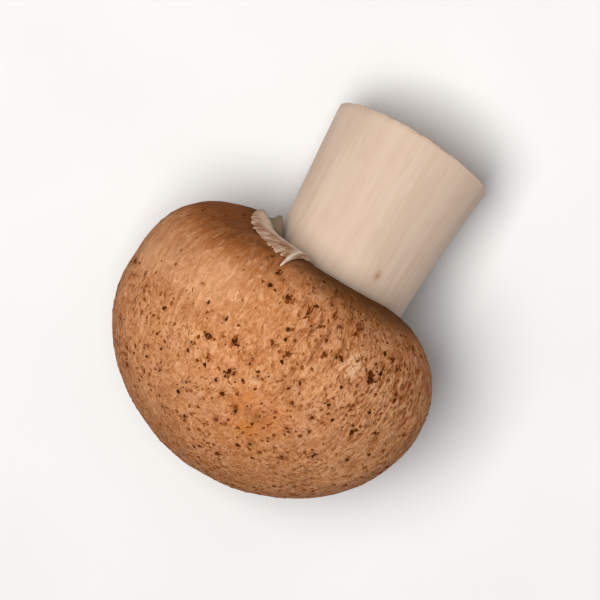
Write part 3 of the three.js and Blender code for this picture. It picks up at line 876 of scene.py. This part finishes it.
def scattered(name, crowd, shelf, finish, sizes, closest, density, swing, seed):
    """Flakes over the outside of the cap: lengths and least distance in millimetres, number for each
    square millimetre, and how far they turn away from the skin's grain in radians."""
    ground = ring_mesh(name + "_ground", scaled_grid)
    paint(ground, crowding=crowd, grain=grain_heading, loose=1 - 0.8 * fibrous[:SCALED_ROWS])
    lengths = {"Smallest": sizes[0] * MM, "Largest": sizes[1] * MM, "Closest": closest * MM}
    places = {"Density": density / MM**2, "Swing": swing, "Seed": seed}
    mesh = grown_mesh(name, ground, flakes_tree, Flakes=shelf, Finish=finish, **lengths, **places)
    new_piece(mesh, None, "brown_skin")


speck_shelf = shelf_of("speck", 8, 9, 0.8, 0.07)
fibre_shelf = shelf_of("fibre", 10, 6, 0.26, 0.035)
dark_finish = flake_finish("dark_scales", DARK_SCALE, SCALE_RED, 0.62)
reddish_finish = flake_finish("reddish_scales", SCALE_RED, RUSSET)
pale_finish = flake_finish("pale_fibres", TAN, PINKISH)
brown_finish = flake_finish("brown_fibres", SCALE_RED, RUSSET)
mark_finish = flake_finish("dark_marks", DARK_SCALE, SCALE_RED, 0.74)
streak_finish = flake_finish("red_streaks", SCALE_RED, RUSSET, 0.85)

crowd = crowding[:SCALED_ROWS]
scattered("dark_scales", crowd, speck_shelf, dark_finish, (0.55, 1.3), 1.5, 0.1, swing=2.6, seed=4)
crowd = 0.15 + 0.85 * crowd
scattered("reddish_scales", crowd, speck_shelf, reddish_finish, (0.45, 1.15), 0.8, 0.24, swing=2.6, seed=9)
clear = (0.7 * calm + 0.5 * unseen)[:SCALED_ROWS]
fibre_crowd = np.clip(0.6 + 0.8 * noise_at(scaled_grid, 3.0, 31) - clear, 0.05, 1)
fibre_crowd *= 0.15 + 0.85 * clamped((lip_along - 8 - along[:SCALED_ROWS]) / 8)
scattered("pale_fibres", fibre_crowd, fibre_shelf, pale_finish, (0.4, 1.3), 0.4, 0.4, swing=2.4, seed=13)
scattered("brown_fibres", fibre_crowd, fibre_shelf, brown_finish, (0.6, 1.8), 0.75, 0.18, swing=2.2, seed=17)
clear_shelf(speck_shelf)
clear_shelf(fibre_shelf)

# ---- Larger marks on the cap ----

FRAGMENT_POINTS = 9
FRAGMENT_RINGS = ((1.1, -0.12), (0.9, 0.07), (0.4, 0.12))  # share of the reach, height over the skin
NEAR_ROWS = 12
NEAR_COLUMNS = 20


def fragment_rings(row, spot, length, turns, slender):
    """Rings of a ragged fragment that follows the skin: sunk rim, shelf and crest."""
    rows = np.arange(max(row - NEAR_ROWS, 0), min(row + NEAR_ROWS + 1, SCALED_ROWS))
    columns = np.arange(spot - NEAR_COLUMNS, spot + NEAR_COLUMNS + 1) % CAP_COLUMNS
    skin = np.ix_(rows, columns)
    places, normals = cap_plan[skin].reshape(-1, 3), cap_normals[skin].reshape(-1, 3)
    normal, heading = cap_normals[row, spot], grain_heading[row, spot]
    turn = flake_random.uniform(-turns, turns)
    first = math.cos(turn) * heading + math.sin(turn) * np.cross(normal, heading)
    second = np.cross(normal, first) * flake_random.uniform(*slender)
    angles = np.linspace(0, 2 * math.pi, FRAGMENT_POINTS, endpoint=False)
    reach = flake_random.uniform(0.5, 1.1, FRAGMENT_POINTS) * length / 2
    bend = np.sin(angles) + flake_random.uniform(-0.8, 0.8) * np.cos(angles) ** 2
    out = np.cos(angles)[:, None] * first + bend[:, None] * second
    rings = []
    for share, height in FRAGMENT_RINGS:
        ring = cap_plan[row, spot] + out * (reach * share)[:, None]
        nearest = np.linalg.norm(places[None] - ring[:, None], axis=2).argmin(axis=1)
        upright = normals[nearest]
        above = ((ring - places[nearest]) * upright).sum(axis=1)
        rings.append(ring + (height - above)[:, None] * upright)
    return rings


def marks_mesh(name, marks, turns, slender, crumbs):
    """Every mark, as one large fragment with smaller crumbs close to it."""
    points, faces = [], []
    count = FRAGMENT_POINTS
    hidden = 100 * (cap_normals @ FACING < 0.05)
    for mark_aside, mark_along, length in marks:
        for number in range(1 + int(crumbs * length)):
            shift = flake_random.normal(0, 0.32 * length, 2) * (number > 0)
            away = np.hypot(aside - mark_aside - shift[0], crownwards - mark_along - shift[1]) + hidden
            row, spot = np.unravel_index(np.argmin(away[:SCALED_ROWS]), (SCALED_ROWS, CAP_COLUMNS))
            size = length * (0.9 if number == 0 else flake_random.uniform(0.25, 0.55))
            rings = fragment_rings(row, spot, size, turns, slender)
            start = len(points)
            points += [tuple(point * MM) for ring in rings for point in ring]
            for ring in range(len(FRAGMENT_RINGS) - 1):
                for i in range(count):
                    here, beside = start + ring * count + i, start + ring * count + (i + 1) % count
                    faces.append((here, beside, beside + count, here + count))
            faces.append(tuple(range(start + 2 * count, start + 3 * count)))
            faces.append(tuple(range(start + count - 1, start - 1, -1)))
    return mesh_of(name, points, faces)


new_piece(marks_mesh("dark_marks", DARK_MARKS, 1.0, (0.45, 0.85), 2.5), mark_finish, "brown_skin")
new_piece(marks_mesh("red_streaks", RED_STREAKS, 0.35, (0.18, 0.34), 1.0), streak_finish, "brown_skin")
new_piece(marks_mesh("red_marks", RED_MARKS, 1.5, (0.5, 0.9), 1.2), reddish_finish, "brown_skin")

# ---- Stem ----

STEM_COLUMNS = 260
SIDE_ROWS = 130
CUT_ROWS = 42
CUT_ROUND = 0.5
CUT_SLOPE = 0.05
BARK_RADIUS = 10.0

phi = around(STEM_COLUMNS)
side_levels = steps(SOCKET_TOP - SEAM - CUT_ROUND, CUT_LEVEL + 2 * CUT_ROUND, SIDE_ROWS)
side_rows = stem_side(phi, side_levels)
top_rows = stem_side(phi, column(SOCKET_TOP - SEAM) + 0 * phi, CUT_ROUND)


def slanted(points):
    points = points.copy()
    points[..., 2] += CUT_SLOPE * (points[..., 0] - CUT_LEAN)
    return points


edge_rows = slanted(stem_side(phi, column(CUT_LEVEL + 0.35, CUT_LEVEL + 0.1) + 0 * phi, column(0.06, 0.28)))
shares = steps(1, 0.02, CUT_ROWS)
cut_rows = slanted(about_stem(phi, (stem_radius(phi, CUT_LEVEL) - CUT_ROUND) * shares, CUT_LEVEL, CUT_LEAN))
stem_grid = np.concatenate([top_rows, side_rows, edge_rows, cut_rows])
on_cut = (np.arange(len(stem_grid)) > 1 + SIDE_ROWS)[:, None] + 0 * phi
bark_place = about_stem(phi, BARK_RADIUS, stem_grid[..., 2])
grooves = 0.09 * noise_at(bark_place, (2.6, 2.6, 22), 5) + 0.04 * noise_at(bark_place, (0.8, 0.8, 16), 6)
crumbs = 0.16 * noise_at(stem_grid, 1.5, 7) + 0.08 * noise_at(stem_grid, 0.6, 9)
relief = np.where(on_cut, crumbs - 0.1, grooves)
stem_grid = stem_grid + relief[..., None] * grid_normals(stem_grid)
middle_of_cut = (CUT_LEAN, 0, CUT_LEVEL - 0.1)
stem_mesh = ring_mesh("stem_flesh", stem_grid, first=(0, 0, SOCKET_TOP - SEAM), last=middle_of_cut)
from_middle = np.hypot(stem_grid[..., 0] - CUT_LEAN - 1.0, stem_grid[..., 1] + 0.8)
pith = 0.6 * np.exp(-((from_middle / 6) ** 2)) + 0.5 * clamped((from_middle - 11) / 3)
stained = pith * (1 + noise_at(stem_grid, 2.5, 25)) * on_cut
stem_plan = laid(stem_grid)
bruised = near_place(stem_plan, grid_normals(stem_plan), 5.6, -2.9, 0.4, 2.2)
paint(stem_mesh, poles=2, bark=bark_place, cut=on_cut, stained=stained, bruised=bruised)
new_piece(stem_mesh, stem_finish(), "pale_stem", "stem")

# ---- Gills ----

GILL_COUNT = 156
GILL_HALF = 0.12
GILL_DEPTH = 4.8
GILL_STEPS = 34
GILL_LENGTHS = (1.0, 0.35, 0.6)  # of a full gill, over and over round the cap
BED = 0.9
BED_STEPS = 12
BED_FROM, BED_TO = 0.26, 0.96  # shares of the way up the hollow


def gills_tree():
    tree = new_tree("hang_gills", ("Depth", "Float"), ("Finish", "Material"))
    given = tree_node(tree, "NodeGroupInput").outputs
    hang = {0: tree_attribute(tree, "hang", "FLOAT_VECTOR"), "Scale": given["Depth"]}
    reach = tree_node(tree, "ShaderNodeVectorMath", hang, operation="SCALE").outputs[0]
    strips = {"Mesh": given["Geometry"], "Selection": tree_attribute(tree, "gill", "BOOLEAN")}
    strips |= {"Offset": reach, "Individual": False}
    drawn = tree_node(tree, "GeometryNodeExtrudeMesh", strips)
    finish_tree(tree, drawn.outputs[0], given["Finish"])
    return tree


def gill_bed():
    """The bed as a closed ring, with the strips that are drawn out into gills marked."""
    middles = np.repeat(around(GILL_COUNT)[0], 2)[None, :]
    shares = steps(BED_FROM, BED_TO, GILL_STEPS) + 0 * middles
    under = hollow(middles + 0 * shares, shares, SEAM + BED)
    half = GILL_HALF / np.hypot(under[..., 0], under[..., 1])
    turned = middles + half * np.tile([-1, 1], GILL_COUNT)
    under = hollow(turned, shares, SEAM + BED)
    over_shares = steps(BED_TO, BED_FROM, BED_STEPS) + 0 * middles
    over = hollow(turned[:1] + 0 * over_shares, over_shares, SEAM)
    grid = np.concatenate([under, over])
    mesh = ring_mesh("gill_bed", grid, endless=True)

    ways = steps(0, 1, GILL_STEPS) + 0 * middles
    reach = np.tile(np.repeat(GILL_LENGTHS, 2), GILL_COUNT // len(GILL_LENGTHS))[None, :]
    spans = clamped(ways / reach)
    depth = np.sin(math.pi * spans**0.8).clip(0) ** 0.6 * (0.55 + 0.45 * reach)
    sideways = np.stack([-np.sin(turned), np.cos(turned), 0 * turned], axis=-1)
    sway = 0.06 * np.sin(ways * 9 + np.repeat(np.arange(GILL_COUNT) * 2.4, 2)[None, :])
    hang = depth[..., None] * (gill_ways(turned, under) + sway[..., None] * sideways)
    hang = hang @ np.array([SIDEWAYS, UPWARDS, CROWNWARDS])
    paint(mesh, hang=np.concatenate([hang, np.zeros_like(over)]))
    strip = np.zeros(grid.shape[:2], bool)
    strip[: GILL_STEPS - 1, ::2] = (depth[:-1, ::2] + depth[1:, ::2]) > 0.02
    marks = mesh.attributes.new("gill", "BOOLEAN", "FACE")
    marks.data.foreach_set("value", strip.ravel())
    return mesh


gill_mesh = grown_mesh("gill_blades", gill_bed(), gills_tree(), Depth=GILL_DEPTH * MM, Finish=gill_finish())
new_piece(gill_mesh, None, "pink_gills", "gills")

# ---- Veil ----

VEIL_COLUMNS = 1080
CAP_SIDE_ROWS = 22
STEM_SIDE_ROWS = 13
SKIRT_RADIUS = 16.0
SKIRT_LENGTH = 3.0
# Round the cap in degrees, and how far out on it the veil still clings there in millimetres.
CLINGS_AT = (92, 96, 99, 101.5, 106, 112, 120, 128, 140, 150, 158, 168)
CLINGS_OUT_TO = (1.2, 2.6, 4.4, 8.5, 10.4, 9.4, 8.2, 7.2, 5.2, 4.2, 2.2, 1.2)

phi = around(VEIL_COLUMNS)
flap = near_angle(phi, 144, 12)
shred = near_angle(phi, 102.3, 1.0)
lace = near_angle(phi, 112, 8)
veil_end = np.interp(np.degrees(phi), CLINGS_AT, CLINGS_OUT_TO)
torn = 0.5 * np.sin(9 * phi + 0.4) + 0.3 * np.sin(17 * phi + 2) + 0.2 * np.sin(31 * phi + 4)
torn *= 1 - 0.9 * near_angle(phi, 150, 24)
ring = about_stem(phi, SKIRT_RADIUS, 0.0)
frayed = 0.35 * noise_at(ring, 0.9, 12) + 0.25 * noise_at(ring, 0.35, 13)
slits = clamped(2 * np.sin(70 * phi + 9 * noise_at(ring, 1.5, 15)) - 0.9) * lace * (1 - shred)
clinging = clamped((veil_end - 1.2) / 4)


def veil_rows(reach, below):
    """The veil's upper or lower face; reach is -1 where it ends on the cap, 0 at the lip, 1 by the stem."""
    inside, outside_lip = np.maximum(reach, 0), np.maximum(-reach, 0)
    root = 0.7 + 0.8 * flap
    end = veil_end + 4.6 * shred + (0.5 + 1.4 * clinging) * frayed - 2.0 * slits
    path = root + outside_lip * (np.maximum(end, root + 0.3) - root)
    lift = SEAM + 0.26 * outside_lip - 0.5 * outside_lip**3 * (1 - shred)
    thickness = 0.5 - 0.3 * inside - 0.38 * outside_lip
    upper = margin(phi + 0 * reach, path, lift)
    across = margin(phi + 0 * reach, path, lift + 1.0) - upper
    down = np.array([0.0, 0.0, -1.0])
    across = across * (1 - inside[..., None]) + down * inside[..., None]
    lip = margin(phi + 0 * reach, 0 * path)
    to_stem = np.hypot(lip[..., 0], lip[..., 1]) - stem_radius(phi, lip[..., 2])
    width = 0.45 * to_stem * (1 + 0.6 * torn + 0.25 * frayed) + 0.3 * flap
    upper += about_stem(phi + 0 * reach, -inside * width, -2.4 * flap * inside**2)
    return upper + across * thickness[..., None] if below else upper


reaches = np.concatenate([steps(-1, 0, CAP_SIDE_ROWS), steps(0, 1, STEM_SIDE_ROWS, skip=1)]) + 0 * phi
veil_grid = np.concatenate([veil_rows(reaches, True), veil_rows(reaches[::-1], False)])
veil_grid[..., 2] += 0.1 * noise_at(veil_grid, 1.4, 14)
veil_mesh = ring_mesh("veil_skirt", veil_grid, endless=True)
both = np.concatenate([reaches, reaches[::-1]])
# Painted shade on the veil's greenish-brown tint: darker towards the stem and where the veil hangs free of
# the cap.
olive = np.clip(np.maximum(both, 0) * 2.5 + 0.8 * (1 - clinging), 0, 0.9)
low = clamped((128 - np.degrees(phi)) / 10)
worn = clamped((-both - 0.17 + 0.05 * low) * (2.1 + 0.8 * low)) * clinging * (1 - shred)
worn *= clamped(0.9 + 0.6 * noise_at(veil_grid, 1.5, 16))
paint(veil_mesh, skin=about_stem(phi, SKIRT_RADIUS, both * SKIRT_LENGTH), olive=olive, worn=worn)
new_piece(veil_mesh, veil_finish(), "cream_veil", "veil")

# ---- Floor, light and camera, in metres ----

FLOOR_HALF = 2
MIDDLE = Vector((0.0006, -0.0001, 0.0249))
LIGHT_TARGET = (0, 0, 0.02)
CAMERA_DISTANCE = 1.0
# The camera's right, as shares of the ways sideways and towards the cut.
RIGHT_ASIDE, RIGHT_CUTWARDS = 0.874, 0.485
DAYLIGHT = (0.95, 0.97, 1)


def floor_finish():
    finish = Finish("pale_floor", Roughness=0.65, Specular_IOR_Level=0.3)
    grain = finish.grain(finish.millimetres(), 40.0, detail=2.0)
    colour = finish.mix(finish.spread(grain, 0.3, 0.7), (0.7, 0.7, 0.7), (0.73, 0.73, 0.73))
    return finish.connect(Base_Color=colour)


corners = [(x * FLOOR_HALF, y * FLOOR_HALF, 0) for x, y in ((-1, -1), (1, -1), (1, 1), (-1, 1))]
floor_mesh = mesh_of("floor", corners, [(0, 1, 2, 3)])
floor_mesh.materials.append(floor_finish())
floor = in_scene("floor", floor_mesh)

facing = Vector(FACING)
view_right = (RIGHT_ASIDE * Vector(ASIDE) - RIGHT_CUTWARDS * Vector(ALONG)).normalized()
view_up = facing.cross(view_right)


def view_place(right, up, nearer):
    return MIDDLE + view_right * right + view_up * up + facing * nearer


def aimed(obj, position, target):
    obj.location = position
    obj.rotation_euler = (Vector(target) - Vector(position)).to_track_quat("-Z", "Y").to_euler()


def soft_light(name, position, size, power, colour):
    lamp = bpy.data.lights.new(name, "AREA")
    lamp.size, lamp.energy, lamp.color = size, power, colour
    aimed(in_scene(name, lamp), position, LIGHT_TARGET)


soft_light("key", view_place(-0.19, -0.06, 0.8), size=0.45, power=8.5, colour=(1, 0.98, 0.95))
soft_light("fill", view_place(0.5, 0.6, 0.6), size=0.7, power=1.0, colour=DAYLIGHT)
world = bpy.data.worlds.new("room")
world.use_nodes = True
background = world.node_tree.nodes["Background"].inputs
background["Color"].default_value = (*DAYLIGHT, 1)
background["Strength"].default_value = 0.2
bpy.context.scene.world = world
bpy.context.scene.view_settings.view_transform = "Standard"

camera_data = bpy.data.cameras.new("camera")
camera_data.lens = 360
camera_data.sensor_width = 36
camera = in_scene("camera", camera_data)
turn = Matrix([view_right, view_up, facing]).transposed()
camera.matrix_world = Matrix.Translation(view_place(0, 0, CAMERA_DISTANCE)) @ turn.to_4x4()
bpy.context.scene.camera = camera
